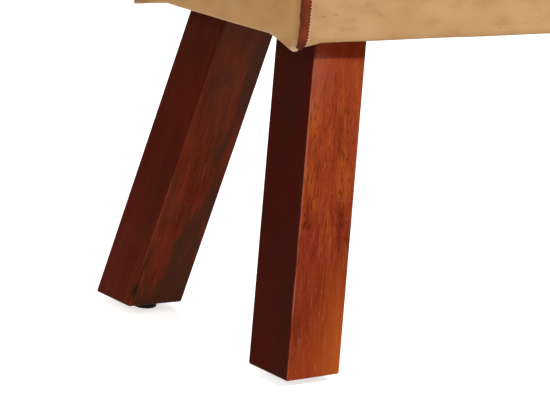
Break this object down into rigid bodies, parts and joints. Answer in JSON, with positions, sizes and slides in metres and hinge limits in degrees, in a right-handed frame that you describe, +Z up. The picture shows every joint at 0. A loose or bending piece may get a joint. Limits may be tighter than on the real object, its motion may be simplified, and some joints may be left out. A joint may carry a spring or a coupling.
{
  "type": "leather bench",
  "caption": "Padded leather bench like a gymnasium horse, with piped seams and square splayed wooden legs.",
  "frame": {"origin": "on the floor, under the middle of the seat", "axes": "+X along the seat to its right end, +Y across it to the back, +Z up"},
  "size_m": [1.115, 0.3388, 0.5],
  "materials": {
    "cover_leather": "matte",
    "welt_leather": "satin",
    "leg_wood": "satin",
    "frame_wood": "matte",
    "plywood": "matte",
    "foam": "matte",
    "cotton_cord": "matte",
    "lining_cloth": "matte",
    "glide_plastic": "matte",
    "plate_steel": "matte",
    "black_steel": "satin",
    "zinc_steel": "satin"
  },
  "bodies": {
    "root": {"base_board": "plywood", "board_screws": "zinc_steel", "corner_block_back_left": "frame_wood", "corner_block_back_right": "frame_wood", "corner_block_front_left": "frame_wood", "corner_block_front_right": "frame_wood", "cover_panel_left": "cover_leather", "cover_panel_middle": "cover_leather", "cover_panel_right": "cover_leather", "cross_rail_left": "frame_wood", "cross_rail_middle": "frame_wood", "cross_rail_right": "frame_wood", "cross_welt_left": "welt_leather", "cross_welt_right": "welt_leather", "deck_screws": "zinc_steel", "dust_cover": "lining_cloth", "dust_cover_staples": "zinc_steel", "end_padding_left": "foam", "end_padding_right": "foam", "end_panel_left": "cover_leather", "end_panel_right": "cover_leather", "end_rail_left": "frame_wood", "end_rail_right": "frame_wood", "end_welt_left": "welt_leather", "end_welt_right": "welt_leather", "frame_screws": "zinc_steel", "glide_back_left": "glide_plastic", "glide_back_right": "glide_plastic", "glide_front_left": "glide_plastic", "glide_front_right": "glide_plastic", "glide_nails": "zinc_steel", "hem_staples": "zinc_steel", "ledger_back": "frame_wood", "ledger_front": "frame_wood", "ledger_screws": "zinc_steel", "leg_back_left": "leg_wood", "leg_back_right": "leg_wood", "leg_bolts": "black_steel", "leg_front_left": "leg_wood", "leg_front_right": "leg_wood", "leg_plate_back_left": "plate_steel", "leg_plate_back_right": "plate_steel", "leg_plate_front_left": "plate_steel", "leg_plate_front_right": "plate_steel", "leg_screws": "zinc_steel", "seat_deck": "plywood", "seat_foam": "foam", "side_padding_back": "foam", "side_padding_front": "foam", "side_rail_back": "frame_wood", "side_rail_front": "frame_wood", "tee_nuts": "zinc_steel", "welt_cords": "cotton_cord"}
  },
  "joints": []
}
